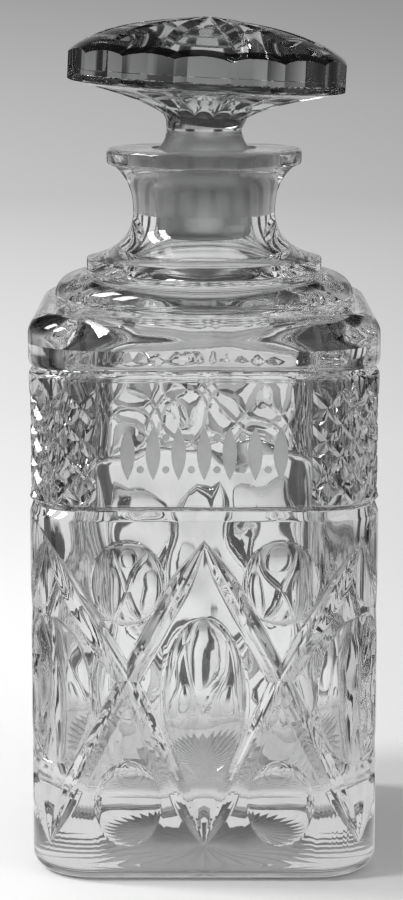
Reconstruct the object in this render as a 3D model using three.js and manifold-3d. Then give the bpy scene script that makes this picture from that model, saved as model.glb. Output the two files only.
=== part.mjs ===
// A square spirit decanter of clear pressed and cut glass, with its ground glass stopper.
// Millimetres, +Z up, origin at the middle of the foot, the label panel facing -Y.

import * as THREE from 'three';
import { mergeVertices } from 'three/addons/utils/BufferGeometryUtils.js';
import Module from 'manifold-3d';

const wasm = await Module();
wasm.setup();

// Driving dimensions of the square body, each rise taken from the part below it
const bodyHalfWidth = 46;
const bodyCornerRadius = 16.7;
const heelRadius = 4.9;
const lowerBodyHeight = 97.6;
const lowerNotchRise = 2.2;
const bandRise = 1.3;
const bandHeight = 33.5;
const upperNotchRise = 1.3;
const notchDepth = 1.4;
const notchFlatHalf = 0.2;
const shoulderOverhang = 0.15;
const shoulderRise = 1.7;
const shoulderSideHeight = 6.8;
const shoulderEdgeRadius = 5.7;

// Driving dimensions of the round cushion, disc, neck and lip
const cushionInset = 5.75;
const cushionStep = 0.2;
const cushionHeight = 7.6;
const cushionFootInset = 0.7;
const cushionFootHeight = 1.4;
const cushionCornerInset = 0.4;
const cushionCornerDrop = 0.9;
const discInset = 8.6;
const discStep = 0.7;
const discHeight = 2.9;
const neckRadius = 19.2;
const neckCoveRise = 2.8;
const neckWaistRise = 12.5;
const neckLength = 24.9;
const neckFlareDrop = 3.2;
const lipRadius = 26.3;
const lipHeight = 4.5;
const lipEdgeRadius = 1.3;
const lipUndercut = 0.5;
const lipUndercutRise = 0.2;

// Driving dimensions of the inside
const wall = 6.5;
const innerCornerRadius = 16;
const floorHeight = 20.5;
const floorFillet = 7;
const innerShoulderDrop = 3.4;
const innerDomeInset = 0.2;
const innerDomeDrop = 3;
const innerCornerInset = 1;
const innerCornerDrop = 7;
const boreMouthRadius = 13.9;
const boreTaper = 1 / 24;
const boreLength = 17.9;
const boreBlendDrop = 2;
const mouthChamfer = 0.7;

// Driving dimensions of the cut pattern on the lower body
const diamondTopDrop = 5.8;
const diamondCrossing = 54.4;
const diamondBottom = 10;
const faceDiamondHalf = 20.1;
const mitreHalfWidth = 2.7;
const mitreDepth = 1.8;
const mitreTaper = 16;
const mitrePoint = 0.15;
const faceLens = { drop: 4.1, halfWidth: 10.9, halfHeight: 21.5, depth: 3.5, fullness: 0.7 };
const cornerLens = { drop: 3.1, halfWidth: 12.8, halfHeight: 20.3, depth: 5.9, fullness: 0.95 };
const upperLens = { drop: 16.6, halfWidth: 9.7, halfHeight: 11.4, depth: 2.9, fullness: 0.7 };
const lowerLens = { height: 21.4, halfWidth: 8.8, halfHeight: 11.6, depth: 2.7, fullness: 0.7 };

// Driving dimensions of the band's label panel and lattice of small flat-topped diamonds
const panelMargin = 2.4;
const panelTopDrop = 1.2;
const panelRecess = 0.5;
const latticeFrame = 1;
const latticeColumns = 66;
const latticeRows = 7;
const latticeBottomRim = 0.25;
const latticeTopRim = 3.7;
const latticeDepth = 1.6;
const latticeTipDepth = 0.3;
const latticeTable = 0.5;
const latticeFlank = 2;

// Driving dimensions of the star cut under the foot
const starRays = 32;
const starMargin = 4.1;
const starNotchShare = 0.73;
const starDepth = 0.5;
const starCentreDepth = 0.3;

// Driving dimensions of the stopper's plug and neck, seated in the bottle
const seatGap = 0.3;
const plugDrop = 1.5;
const plugLength = 24.4;
const plugEdge = 2.2;
const plugConeRise = 3;
const stopperNeckRadius = 10.1;
const stopperNeckSpread = 0.2;
const stopperWaistRise = 6.8;
const collarRadius = 11.2;
const collarRise = 3;
const collarRoot = 1;
const headRoot = 0.6;

// Driving dimensions of the stopper's head
const headRadius = 37.8;
const headLean = 3;
const leanPivotDrop = 6;
const undersideRise = 7.8;
const undersideReach = 5;
const undersideLift = 4;
const underFluteDepth = 0.8;
const bevelInset = 1.9;
const bevelHeight = 1.2;
const fluteStart = 1.1;
const flutes = 16;
const fluteDepth = 1.1;
const fluteTurn = 9;
const facetDepth = 0.75;
const facetStep = 0.2;
const domeOverhang = 1.8;
const domeStart = 1.3;
const domeHeight = 14.6;
const peakRadius = 9;
const peakHeight = 0.8;
const topRays = 12;
const topRayTurn = 12;
const topRayDepth = 1.15;
const topRayHalfWidth = 2.3;
const topRayStart = 2.4;
const topRayMargin = 3.3;
const topRayTaper = 11;

// How finely round shapes are divided
const flatSteps = 4;
const cornerSteps = 6;
const arcSteps = 4;
const coveSteps = 5;
const lensSegments = 14;
const lensRings = 3;
const taperSteps = 3;
const wrapSteps = 3;
const plugSteps = 36;
const headSteps = flutes * 4;
const domeAngles = [10, 24, 38, 51, 64];
const topRaySteps = 5;

// How far a cutter stands proud of the surface that it cuts
const cutterLift = 1;
const lensLift = 8;
const trimmerReach = 10;

// Lengths measured round the body, from the middle of its front
const bodyFlatHalf = bodyHalfWidth - bodyCornerRadius;
const cornerLength = (bodyCornerRadius * Math.PI) / 2;
const sideLength = 2 * bodyFlatHalf + cornerLength;
const bodyPerimeter = 4 * sideLength;

// Heights and widths of the outside, from the foot up
const lowerNotch = lowerBodyHeight + lowerNotchRise;
const bandBottom = lowerNotch + bandRise;
const bandTop = bandBottom + bandHeight;
const upperNotch = bandTop + upperNotchRise;
const shoulderHalfWidth = bodyHalfWidth + shoulderOverhang;
const shoulderBottom = upperNotch + shoulderRise;
const shoulderEdge = shoulderBottom + shoulderSideHeight;
const cushionRadius = shoulderHalfWidth - cushionInset;
const cushionBottom = shoulderEdge + shoulderEdgeRadius + cushionStep;
const cushionTop = cushionBottom + cushionHeight;
const discRadius = cushionRadius - discInset;
const discTop = cushionTop + discStep + discHeight;
const lipBottom = discTop + neckLength;
const lipTop = lipBottom + lipHeight;

// Heights of the inside, the cut pattern and the stopper
const innerDome = discTop - innerDomeDrop;
const boreBottom = lipTop - boreLength;
const diamondTop = lowerBodyHeight - diamondTopDrop;
const latticeBottom = bandBottom + latticeBottomRim;
const latticeRowHeight = (bandHeight - latticeBottomRim - latticeTopRim) / latticeRows;
const panelHalfWidth = bodyFlatHalf - panelMargin;
const latticeStart = panelHalfWidth + latticeFrame;
const plugTop = lipTop - plugDrop;
const stopperWaist = plugTop + stopperWaistRise;
const collarHeight = stopperWaist + collarRise;
const bevelBottom = collarHeight + undersideRise;
const bevelTop = bevelBottom + bevelHeight;
const fluteBottom = bevelTop + fluteStart;
const domeCentre = fluteBottom + domeStart;
const domeRadius = headRadius + domeOverhang;
const domeTop = domeCentre + domeHeight;

const radians = THREE.MathUtils.degToRad;
const mix = THREE.MathUtils.lerp;

// A closed geometry from points and triangles
function geometryOf(points, triangles) {
  const geometry = new THREE.BufferGeometry();
  const numbers = points.flatMap((point) => [point.x, point.y, point.z]);
  geometry.setAttribute('position', new THREE.Float32BufferAttribute(numbers, 3));
  geometry.setIndex(triangles.flat());
  return geometry;
}

// A solid that can be joined and cut, from a closed geometry
function solidOf(geometry) {
  const bare = geometry.clone();
  bare.deleteAttribute('normal');
  bare.deleteAttribute('uv');
  const merged = mergeVertices(bare, 1e-4);
  return new wasm.Manifold(new wasm.Mesh({
    numProp: 3,
    vertProperties: new Float32Array(merged.attributes.position.array),
    triVerts: new Uint32Array(merged.index.array),
  }));
}

// A geometry from a solid, with flat shading on its own
function geometryFrom(solid) {
  const mesh = solid.getMesh();
  const geometry = new THREE.BufferGeometry();
  geometry.setAttribute('position', new THREE.BufferAttribute(mesh.vertProperties, 3));
  geometry.setIndex(new THREE.BufferAttribute(mesh.triVerts, 1));
  geometry.computeVertexNormals();
  return geometry;
}

// A skin over rings of equally many points, closed by a point at each end
function loft(rings, firstPoint, lastPoint) {
  const count = rings[0].length;
  const points = [firstPoint, ...rings.flat(), lastPoint];
  const last = points.length - 1;
  const triangles = [];
  for (let k = 0; k < count; k += 1) {
    const next = (k + 1) % count;
    triangles.push([0, 1 + next, 1 + k]);
    for (let ring = 0; ring < rings.length - 1; ring += 1) {
      const low = 1 + ring * count;
      const high = low + count;
      triangles.push([low + k, low + next, high + next]);
      triangles.push([low + k, high + next, high + k]);
    }
    const top = 1 + (rings.length - 1) * count;
    triangles.push([top + k, top + next, last]);
  }
  return geometryOf(points, triangles);
}

// A solid bar swept through equally many points at each place, either closed on itself or capped
function sweep(places, closed) {
  const count = places[0].length;
  const triangles = [];
  const joints = closed ? places.length : places.length - 1;
  for (let i = 0; i < joints; i += 1) {
    const here = count * i;
    const there = count * ((i + 1) % places.length);
    for (let edge = 0; edge < count; edge += 1) {
      const other = (edge + 1) % count;
      triangles.push([here + edge, there + other, there + edge]);
      triangles.push([here + edge, here + other, there + other]);
    }
  }
  if (!closed) {
    const last = count * (places.length - 1);
    triangles.push([0, 2, 1], [last, last + 1, last + 2]);
  }
  return solidOf(geometryOf(places.flat(), triangles));
}

// The outline points of a turned shape along an arc, angles in degrees
function arcPoints(centre, height, radius, from, to, steps) {
  const points = [];
  for (let i = 0; i <= steps; i += 1) {
    const angle = radians(mix(from, to, i / steps));
    points.push([centre + radius * Math.cos(angle), height + radius * Math.sin(angle)]);
  }
  return points;
}

// The outline points after the first one on a curve that bends towards a corner point
function bendPoints(start, corner, end, steps) {
  const curve = new THREE.QuadraticBezierCurve(
    new THREE.Vector2(...start),
    new THREE.Vector2(...corner),
    new THREE.Vector2(...end),
  );
  return curve.getPoints(steps).slice(1).map((point) => [point.x, point.y]);
}

// One ring of the bottle: a rounded square, a circle, or a shape between the two
function bottleRing(halfWidth, height, cornerRadius, roundness) {
  const ring = [];
  const flat = halfWidth - cornerRadius;
  const stepsPerSide = flatSteps + cornerSteps;
  for (let k = 0; k < 4 * stepsPerSide; k += 1) {
    const side = Math.floor(k / stepsPerSide);
    const step = k % stepsPerSide;
    const across = Math.min(step / flatSteps, 1) * 2 - 1;
    const turn = radians(Math.max(step - flatSteps, 0) * (90 / cornerSteps));
    const square = new THREE.Vector2(
      flat * across + cornerRadius * Math.sin(turn),
      -flat - cornerRadius * Math.cos(turn),
    );
    const angle = radians(-90 + (step - flatSteps / 2) * (90 / stepsPerSide));
    const circle = new THREE.Vector2(halfWidth * Math.cos(angle), halfWidth * Math.sin(angle));
    square.lerp(circle, roundness).rotateAround(new THREE.Vector2(), radians(90 * side));
    ring.push(new THREE.Vector3(square.x, square.y, height));
  }
  return ring;
}

const squareRing = ([halfWidth, height]) => bottleRing(halfWidth, height, halfWidth - bodyFlatHalf, 0);
const roundRing = ([radius, height]) => bottleRing(radius, height, radius, 1);

// The outside of the square body: foot, heel, notches, band and shoulder
function bodyRings() {
  const notchHalf = bodyHalfWidth - notchDepth;
  const rollCentre = shoulderHalfWidth - shoulderEdgeRadius;
  const outline = [
    ...arcPoints(bodyHalfWidth - heelRadius, heelRadius, heelRadius, -90, 0, arcSteps),
    [bodyHalfWidth, lowerBodyHeight],
    [notchHalf, lowerNotch - notchFlatHalf],
    [notchHalf, lowerNotch + notchFlatHalf],
    [bodyHalfWidth, bandBottom],
    [bodyHalfWidth, bandTop],
    [notchHalf, upperNotch - notchFlatHalf],
    [notchHalf, upperNotch + notchFlatHalf],
    [shoulderHalfWidth, shoulderBottom],
    ...arcPoints(rollCentre, shoulderEdge, shoulderEdgeRadius, 0, 90, arcSteps),
  ];
  return outline.map(squareRing);
}

// The round outside above the shoulder: cushion, disc, neck and lip
function neckRings() {
  const cushionSide = [cushionRadius, cushionBottom + cushionFootHeight];
  const cushionCorner = [cushionRadius - cushionCornerInset, cushionTop - cushionCornerDrop];
  const waist = [neckRadius, discTop + neckWaistRise];
  const discEdge = [discRadius, discTop];
  const flareEnd = [lipRadius - lipUndercut, lipBottom + lipUndercutRise];
  const outline = [
    [cushionRadius - cushionFootInset, cushionBottom],
    cushionSide,
    ...bendPoints(cushionSide, cushionCorner, [discRadius + discStep, cushionTop], arcSteps),
    [discRadius, cushionTop + discStep],
    discEdge,
    ...bendPoints(discEdge, [neckRadius, discTop + neckCoveRise], waist, coveSteps),
    ...bendPoints(waist, [neckRadius, lipBottom - neckFlareDrop], flareEnd, coveSteps),
    [lipRadius, lipBottom + lipEdgeRadius],
    ...arcPoints(lipRadius - lipEdgeRadius, lipTop - lipEdgeRadius, lipEdgeRadius, 0, 90, 2),
  ];
  return outline.map(roundRing);
}

const boreRadiusAt = (height) => boreMouthRadius - (lipTop - height) * boreTaper;

// The inside, from the mouth down to the floor
function hollowRings() {
  const boreEnd = [boreRadiusAt(boreBottom), boreBottom];
  const domeEdge = [neckRadius - innerDomeInset, innerDome];
  const blendCorner = [boreEnd[0], (boreBottom + innerDome) / 2 - boreBlendDrop];
  const bore = [
    [boreMouthRadius + mouthChamfer, lipTop],
    [boreRadiusAt(lipTop - mouthChamfer), lipTop - mouthChamfer],
    boreEnd,
    ...bendPoints(boreEnd, blendCorner, domeEdge, coveSteps),
  ];
  const innerHalf = bodyHalfWidth - wall;
  const domeCorner = [innerHalf - innerCornerInset, innerDome - innerCornerDrop];
  const domeEnd = [innerHalf, shoulderEdge - innerShoulderDrop];
  const domeOutline = bendPoints(domeEdge, domeCorner, domeEnd, coveSteps);
  const domeRings = domeOutline.map(([halfWidth, height], i) => {
    const share = (i + 1) / domeOutline.length;
    return bottleRing(halfWidth, height, mix(halfWidth, innerCornerRadius, share), 1 - share);
  });
  const innerFlat = innerHalf - innerCornerRadius;
  const filletHeight = floorHeight + floorFillet;
  const floor = arcPoints(innerHalf - floorFillet, filletHeight, floorFillet, 0, -90, arcSteps);
  const floorRings = floor.map(([halfWidth, height]) => {
    return bottleRing(halfWidth, height, halfWidth - innerFlat, 0);
  });
  return [...bore.map(roundRing), ...domeRings, ...floorRings];
}

// A point by its place round the body, its height and how far it stands off the surface
function bodyPoint(along, height, standOff) {
  const wrapped = ((along % bodyPerimeter) + bodyPerimeter + bodyFlatHalf) % bodyPerimeter;
  const side = Math.floor(wrapped / sideLength);
  const place = wrapped - side * sideLength;
  const turn = Math.max(place - 2 * bodyFlatHalf, 0) / bodyCornerRadius;
  const reach = bodyCornerRadius + standOff;
  const point = new THREE.Vector2(
    Math.min(place, 2 * bodyFlatHalf) - bodyFlatHalf + reach * Math.sin(turn),
    -bodyFlatHalf - reach * Math.cos(turn),
  );
  point.rotateAround(new THREE.Vector2(), radians(90 * side));
  return new THREE.Vector3(point.x, point.y, height);
}

// How far a place round the body is from the middle of the nearest face
function fromFaceMiddle(along) {
  const place = along % sideLength;
  return Math.min(place, sideLength - place);
}

// The height of a mitre line at a place round the body, starting at a top or a bottom apex
function mitreHeight(along, startsAtTop) {
  const half = sideLength / 2;
  const fromFace = fromFaceMiddle(along);
  const faceEnd = startsAtTop ? diamondTop : diamondBottom;
  const cornerEnd = startsAtTop ? diamondBottom : diamondTop;
  if (fromFace < faceDiamondHalf) {
    return mix(faceEnd, diamondCrossing, fromFace / faceDiamondHalf);
  }
  const share = (fromFace - faceDiamondHalf) / (half - faceDiamondHalf);
  return mix(diamondCrossing, cornerEnd, share);
}

// The places round one side where a mitre line bends, wraps or changes width
function mitrePlaces() {
  const half = sideLength / 2;
  const slope = Math.hypot(faceDiamondHalf, diamondTop - diamondCrossing) / faceDiamondHalf;
  const out = [];
  for (let i = 0; i <= taperSteps; i += 1) {
    out.push((mitreTaper / slope) * (i / taperSteps));
  }
  out.push(faceDiamondHalf);
  for (let i = 0; i < wrapSteps; i += 1) {
    out.push(mix(bodyFlatHalf, half, i / wrapSteps));
  }
  const back = out.slice(1).reverse().map((place) => sideLength - place);
  return [...out, half, ...back];
}

// The groove's size at a point of its line, from its distance to the nearest tip of the zigzag
function mitreShare(point) {
  const tipHeight = point.y > diamondCrossing ? diamondTop : diamondBottom;
  const fromFace = fromFaceMiddle(point.x);
  const fromTip = fromFace < faceDiamondHalf ? fromFace : sideLength / 2 - fromFace;
  const distance = Math.hypot(fromTip, tipHeight - point.y);
  const fullness = Math.sin((Math.min(1, distance / mitreTaper) * Math.PI) / 2);
  return mix(mitrePoint, 1, fullness);
}

// The offset that keeps both edges of a groove parallel to its line, mitred where the line turns
function mitreOffset(before, point, after) {
  const first = new THREE.Vector2().subVectors(point, before).normalize();
  const second = new THREE.Vector2().subVectors(after, point).normalize();
  const normal = new THREE.Vector2(-first.y - second.y, first.x + second.x).normalize();
  const lean = normal.dot(new THREE.Vector2(-first.y, first.x));
  return normal.multiplyScalar(1 / lean);
}

// A closed band of a V section, zigzag round the body and narrow at its tips
function mitreCutter(startsAtTop) {
  const line = [];
  for (let side = 0; side < 4; side += 1) {
    for (const place of mitrePlaces()) {
      line.push(new THREE.Vector2(side * sideLength + place, mitreHeight(place, startsAtTop)));
    }
  }
  const onceRound = new THREE.Vector2(bodyPerimeter, 0);
  const places = line.map((point, i) => {
    const before = i > 0 ? line[i - 1] : line.at(-1).clone().sub(onceRound);
    const after = i < line.length - 1 ? line[i + 1] : line[0].clone().add(onceRound);
    const depth = mitreDepth * mitreShare(point);
    const spread = (mitreHalfWidth / mitreDepth) * (depth + cutterLift);
    const offset = mitreOffset(before, point, after).multiplyScalar(spread);
    return [
      bodyPoint(point.x, point.y, -depth),
      bodyPoint(point.x + offset.x, point.y + offset.y, cutterLift),
      bodyPoint(point.x - offset.x, point.y - offset.y, cutterLift),
    ];
  });
  return sweep(places, true);
}

// A hollow with an oval edge, dished into the surface and following it round a corner
function lensCutter(along, height, lens) {
  const spot = (share, angle, standOff) => bodyPoint(
    along + lens.halfWidth * share * Math.cos(angle),
    height + lens.halfHeight * share * Math.sin(angle),
    standOff,
  );
  const rings = [];
  for (let i = 1; i <= lensRings + 1; i += 1) {
    const share = Math.sin((Math.PI / 2) * Math.min(1, i / lensRings));
    const depth = lens.depth * Math.max(0, 1 - share ** 2) ** lens.fullness;
    const above = i > lensRings;
    const ring = [];
    for (let k = 0; k < lensSegments; k += 1) {
      const angle = (2 * Math.PI * k) / lensSegments;
      ring.push(above ? spot(share + cutterLift / lens.halfWidth, angle, cutterLift) : spot(share, angle, -depth));
    }
    rings.push(ring);
  }
  return solidOf(loft(rings, spot(0, 0, -lens.depth), spot(0, 0, lensLift)));
}

// All the oval hollows: one in each large diamond, one in each triangle above and below
function lensCutters() {
  const cutters = [];
  for (let side = 0; side < 4; side += 1) {
    const middle = side * sideLength;
    cutters.push(lensCutter(middle, diamondCrossing - faceLens.drop, faceLens));
    cutters.push(lensCutter(middle + sideLength / 2, diamondCrossing - cornerLens.drop, cornerLens));
    for (const hand of [-1, 1]) {
      const beside = middle + hand * faceDiamondHalf;
      cutters.push(lensCutter(beside, lowerBodyHeight - upperLens.drop, upperLens));
      cutters.push(lensCutter(beside, lowerLens.height, lowerLens));
    }
  }
  return cutters;
}

// The strip of small flat-topped diamonds, from one edge of the label panel round the back to the other.
// Its grooves cross at every second node of a grid, and the diamonds stand on the nodes between.
function latticeCutter() {
  const columnWidth = (bodyPerimeter - 2 * latticeStart) / latticeColumns;
  const points = [];
  const known = new Map();
  const add = (column, height, standOff) => {
    return points.push(bodyPoint(latticeStart + column * columnWidth, height, standOff)) - 1;
  };
  const at = (column, row, depth) => {
    const key = `${column} ${row}`;
    if (!known.has(key)) {
      known.set(key, add(column, latticeBottom + row * latticeRowHeight, -depth));
    }
    return known.get(key);
  };
  const crosses = ([column, row]) => (column + row) % 2 === 1;
  const node = ([column, row]) => at(column, row, crosses([column, row]) ? latticeDepth : latticeTipDepth);
  const tableCorner = (tip, crossing) => at(
    mix(tip[0], crossing[0], latticeTable),
    mix(tip[1], crossing[1], latticeTable),
    latticeTipDepth,
  );
  const between = (a, b) => (crosses(a) ? tableCorner(b, a) : tableCorner(a, b));
  const triangles = [];

  // One side of a groove between two crossings, and its share of the diamond's flat top
  const facet = (first, second, tip) => {
    const near = tableCorner(tip, first);
    const far = tableCorner(tip, second);
    triangles.push([node(first), node(second), far], [node(first), far, near], [near, far, node(tip)]);
  };
  const topRow = (column) => (crosses([column, latticeRows]) ? latticeRows : latticeRows - 1);
  const outer = [];
  for (let i = 0; i <= latticeColumns; i += 1) {
    const flankTop = latticeBottom + topRow(i) * latticeRowHeight + latticeFlank;
    outer.push([add(i, latticeBottom, cutterLift), add(i, flankTop, cutterLift)]);
  }
  for (let i = 0; i < latticeColumns; i += 1) {
    for (let j = 0; j < latticeRows - 1; j += 1) {
      const corners = [[i, j], [i + 1, j], [i + 1, j + 1], [i, j + 1]];
      const [a, b, c, d] = crosses(corners[0]) ? corners : [corners[3], ...corners.slice(0, 3)];
      facet(a, c, b);
      facet(c, a, d);
    }
    const row = latticeRows - 1;
    const leftIsHigh = topRow(i) > row;
    const peak = [leftIsHigh ? i : i + 1, latticeRows];
    const under = [peak[0], row];
    const beside = [leftIsHigh ? i + 1 : i, row];
    facet(leftIsHigh ? peak : beside, leftIsHigh ? beside : peak, under);
    const [leftLow, leftHigh] = outer[i];
    const [rightLow, rightHigh] = outer[i + 1];
    const footMiddle = between([i, 0], [i + 1, 0]);
    triangles.push([leftLow, rightLow, rightHigh], [leftLow, rightHigh, leftHigh]);
    triangles.push([node([i, 0]), footMiddle, leftLow], [footMiddle, node([i + 1, 0]), rightLow]);
    triangles.push([footMiddle, rightLow, leftLow]);
    const leftTop = node([i, topRow(i)]);
    const rightTop = node([i + 1, topRow(i + 1)]);
    triangles.push([leftTop, rightHigh, rightTop], [leftTop, leftHigh, rightHigh]);
  }
  const closeEnd = (column, flip) => {
    const [low, high] = outer[column];
    const rim = [node([column, 0])];
    for (let j = 0; j < topRow(column); j += 1) {
      rim.push(between([column, j], [column, j + 1]), node([column, j + 1]));
    }
    rim.push(high);
    for (let j = 0; j < rim.length - 1; j += 1) {
      triangles.push(flip ? [low, rim[j + 1], rim[j]] : [low, rim[j], rim[j + 1]]);
    }
  };
  closeEnd(0, true);
  closeEnd(latticeColumns, false);
  return solidOf(geometryOf(points, triangles));
}

// The shallow recess of the label panel
function panelCutter() {
  const deep = panelRecess + cutterLift;
  const top = bandTop - panelTopDrop;
  const box = new THREE.BoxGeometry(2 * panelHalfWidth, deep, top - latticeBottom);
  box.translate(0, -bodyHalfWidth + panelRecess - deep / 2, (top + latticeBottom) / 2);
  return solidOf(box);
}

// The star under the foot: pointed rays that meet in a shallow hollow
function starCutter() {
  const tipRadius = bodyHalfWidth - heelRadius - starMargin;
  const notchRadius = tipRadius * starNotchShare;
  const at = (radius, turn, height) => new THREE.Vector3(
    radius * Math.cos(turn),
    radius * Math.sin(turn),
    height,
  );
  const points = [new THREE.Vector3(0, 0, starCentreDepth), new THREE.Vector3(0, 0, -cutterLift)];
  const triangles = [];
  for (let ray = 0; ray < starRays; ray += 1) {
    const turn = (2 * Math.PI * ray) / starRays;
    const notchTurn = turn + Math.PI / starRays;
    const here = points.length;
    points.push(
      at(notchRadius, turn, starDepth),
      at(tipRadius, turn, 0),
      at(notchRadius, notchTurn, 0),
      at(tipRadius, turn, -cutterLift),
      at(notchRadius, notchTurn, -cutterLift),
    );
    const next = 2 + ((ray + 1) % starRays) * 5;
    triangles.push([0, here, here + 2], [here, here + 1, here + 2]);
    triangles.push([0, here + 2, next], [here + 2, next + 1, next]);
    triangles.push([here + 1, here + 3, here + 4], [here + 1, here + 4, here + 2]);
    triangles.push([here + 2, here + 4, next + 3], [here + 2, next + 3, next + 1]);
    triangles.push([1, here + 4, here + 3], [1, next + 3, here + 4]);
  }
  return solidOf(geometryOf(points, triangles));
}

function bottleGeometry() {
  const underside = new THREE.Vector3(0, 0, 0);
  const floor = new THREE.Vector3(0, 0, floorHeight);
  const blank = solidOf(loft([...bodyRings(), ...neckRings(), ...hollowRings()], underside, floor));
  const cutters = [mitreCutter(true), mitreCutter(false), ...lensCutters()];
  cutters.push(latticeCutter(), panelCutter(), starCutter());
  return geometryFrom(cutters.reduce((solid, cutter) => solid.subtract(cutter), blank));
}

// How deep a flute is at an angle: nothing at its edges, one in its middle
function fluteShare(angle) {
  const step = 360 / flutes;
  const place = ((((angle - fluteTurn) % step) + step) % step) / step;
  return 1 - (2 * place - 1) ** 2;
}

// One ring of a turned shape, hollowed by the flutes inwards or upwards
function turnedRing(radius, height, steps, inward, upward) {
  const ring = [];
  for (let k = 0; k < steps; k += 1) {
    const angle = fluteTurn + (360 * k) / steps;
    const share = fluteShare(angle);
    const reach = radius - inward * share;
    const turn = radians(angle - 90);
    ring.push(new THREE.Vector3(
      reach * Math.cos(turn),
      reach * Math.sin(turn),
      height + upward * share,
    ));
  }
  return ring;
}

const onAxis = (height) => new THREE.Vector3(0, 0, height);

// The ground plug and the waisted neck above it
function plugSolid() {
  const bottom = plugTop - plugLength;
  const lowRadius = boreRadiusAt(bottom + plugEdge) - seatGap;
  const topRadius = boreRadiusAt(plugTop) - seatGap;
  const waist = [stopperNeckRadius, stopperWaist];
  const neckEnd = [stopperNeckRadius + stopperNeckSpread, collarHeight - collarRoot];
  const outline = [
    ...arcPoints(lowRadius - plugEdge, bottom + plugEdge, plugEdge, -90, 0, 2),
    [topRadius, plugTop],
    ...bendPoints([topRadius, plugTop], [stopperNeckRadius, plugTop + plugConeRise], waist, coveSteps),
    neckEnd,
  ];
  const rings = outline.map(([radius, height]) => turnedRing(radius, height, plugSteps, 0, 0));
  return solidOf(loft(rings, onAxis(bottom), onAxis(neckEnd[1])));
}

// The height of the domed top at a radius, with the low peak in its middle
function domeHeightAt(radius) {
  const rise = domeHeight * Math.sqrt(Math.max(0, 1 - (radius / domeRadius) ** 2));
  return domeCentre + rise + peakHeight * Math.max(0, 1 - radius / peakRadius);
}

// The head before its rim is fluted: collar, fluted underside, bevel and domed top
function headBlank() {
  const bevelRadius = headRadius - bevelInset;
  const underside = bendPoints(
    [collarRadius, collarHeight],
    [collarRadius + undersideReach, collarHeight + undersideLift],
    [bevelRadius, bevelBottom],
    coveSteps,
  );
  const rings = [
    turnedRing(stopperNeckRadius, stopperWaist + headRoot, headSteps, 0, 0),
    turnedRing(collarRadius, collarHeight, headSteps, 0, 0),
    ...underside.slice(0, -1).map(([radius, height]) => {
      return turnedRing(radius, height, headSteps, 0, underFluteDepth);
    }),
    turnedRing(bevelRadius, bevelBottom, headSteps, 0, 0),
    turnedRing(headRadius + facetStep, bevelTop, headSteps, 0, 0),
    turnedRing(headRadius + domeOverhang / 2, fluteBottom, headSteps, 0, 0),
  ];
  const domeRadii = domeAngles.map((angle) => domeRadius * Math.cos(radians(angle)));
  for (const radius of [...domeRadii, peakRadius]) {
    rings.push(turnedRing(radius, domeHeightAt(radius), headSteps, 0, 0));
  }
  return solidOf(loft(rings, onAxis(stopperWaist + headRoot), onAxis(domeHeightAt(0))));
}

// The column that trims the head's rim, with shallow facets below and deeper flutes above
function rimTrimmer() {
  const low = collarHeight - trimmerReach;
  const high = domeTop + trimmerReach;
  const rings = [
    turnedRing(headRadius, low, headSteps, facetDepth, 0),
    turnedRing(headRadius, fluteBottom - facetStep, headSteps, facetDepth, 0),
    turnedRing(headRadius, fluteBottom, headSteps, fluteDepth, 0),
    turnedRing(headRadius, high, headSteps, fluteDepth, 0),
  ];
  return solidOf(loft(rings, onAxis(low), onAxis(high)));
}

// One V cut that follows the domed top, narrowing towards the peak and the rim
function topRayCutter(turn) {
  const end = headRadius - topRayMargin;
  const places = [];
  for (let i = 0; i <= topRaySteps; i += 1) {
    const reach = mix(topRayStart, end, i / topRaySteps);
    const share = Math.min(1, reach / topRayTaper, 0.35 + (end - reach) / topRayTaper);
    const depth = topRayDepth * share;
    const spread = (topRayHalfWidth / topRayDepth) * (depth + cutterLift);
    const surface = domeHeightAt(reach);
    places.push([
      new THREE.Vector3(reach, 0, surface - depth),
      new THREE.Vector3(reach, spread, surface + cutterLift),
      new THREE.Vector3(reach, -spread, surface + cutterLift),
    ].map((point) => point.applyAxisAngle(new THREE.Vector3(0, 0, 1), radians(turn - 90))));
  }
  return sweep(places, false);
}

function stopperGeometry() {
  let head = headBlank().intersect(rimTrimmer());
  for (let ray = 0; ray < topRays; ray += 1) {
    head = head.subtract(topRayCutter(topRayTurn + (360 * ray) / topRays));
  }
  const pivot = collarHeight - leanPivotDrop;
  const leaning = geometryFrom(head);
  leaning.translate(0, 0, -pivot);
  leaning.rotateY(radians(headLean));
  leaning.translate(0, 0, pivot);
  return geometryFrom(plugSolid().add(solidOf(leaning)));
}

// Clear glass, slightly grey, with a finish of its own for each piece
function glass(colour, roughness) {
  return new THREE.MeshStandardMaterial({ color: colour, roughness, metalness: 0 });
}

function named(name, geometry, material) {
  const mesh = new THREE.Mesh(geometry, material);
  mesh.name = name;
  return mesh;
}

const decanter = new THREE.Group();
decanter.add(named('bottle', bottleGeometry(), glass(0xdfe3e2, 0.05)));
decanter.add(named('stopper', stopperGeometry(), glass(0xe6e9e8, 0.12)));

export default decanter;
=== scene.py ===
# The looks of a square cut glass decanter and its stopper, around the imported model.
import math

import bmesh
import bpy
from mathutils import Matrix, Vector


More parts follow.
